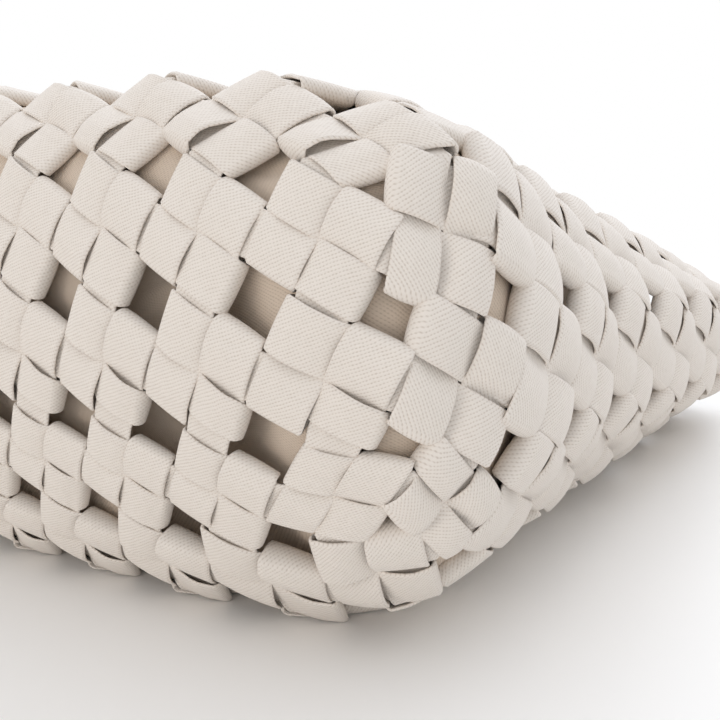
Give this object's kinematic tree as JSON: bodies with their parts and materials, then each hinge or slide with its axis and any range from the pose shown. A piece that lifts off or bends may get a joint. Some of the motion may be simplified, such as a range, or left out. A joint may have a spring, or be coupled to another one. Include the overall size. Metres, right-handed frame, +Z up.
{
  "type": "plaited produce bag",
  "caption": "Open-mesh produce bag plaited from flat cloth tape in fold-over knots, with a loose inner pouch, a bound rim and a pair of plaited handles, lying on its side.",
  "frame": {"origin": "on the floor plane under the bag's back panel, at the middle of its overall length and width", "axes": "+Y from the bag's bottom to its mouth and handles, +X along the long side of its bottom, +Z up from the back panel it lies on to the front panel"},
  "size_m": [0.2994, 0.396, 0.1484],
  "materials": {
    "canvas_tape": "matte woven",
    "canvas_binding": "matte woven",
    "canvas_handle": "matte plaited",
    "calico": "matte soft"
  },
  "bodies": {
    "bag": {"cross_tape_1": "canvas_tape", "cross_tape_2": "canvas_tape", "cross_tape_3": "canvas_tape", "cross_tape_4": "canvas_tape", "cross_tape_5": "canvas_tape", "cross_tape_6": "canvas_tape", "cross_tape_7": "canvas_tape", "long_tape_1": "canvas_tape", "long_tape_2": "canvas_tape", "long_tape_3": "canvas_tape", "hoop_tape_1": "canvas_tape", "hoop_tape_2": "canvas_tape", "hoop_tape_3": "canvas_tape", "hoop_tape_4": "canvas_tape", "hoop_tape_5": "canvas_tape", "hoop_tape_6": "canvas_tape", "hoop_tape_7": "canvas_tape", "inner_pouch": "calico", "rim_binding": "canvas_binding", "front_handle_left_end": "canvas_binding", "front_handle_right_end": "canvas_binding", "back_handle_left_end": "canvas_binding", "back_handle_right_end": "canvas_binding"},
    "front_handle": {"front_handle": "canvas_handle"},
    "back_handle": {"back_handle": "canvas_handle"}
  },
  "joints": [
    {"name": "front_handle_swing", "type": "hinge", "parent": "bag", "child": "front_handle", "pos_m": [0, 0.0805, 0.07237], "axis": [1, 0, 0], "range_deg": [0, 190]},
    {"name": "back_handle_swing", "type": "hinge", "parent": "bag", "child": "back_handle", "pos_m": [0, 0.0805, 0.0017], "axis": [1, 0, 0], "range_deg": [-165, 0]}
  ]
}
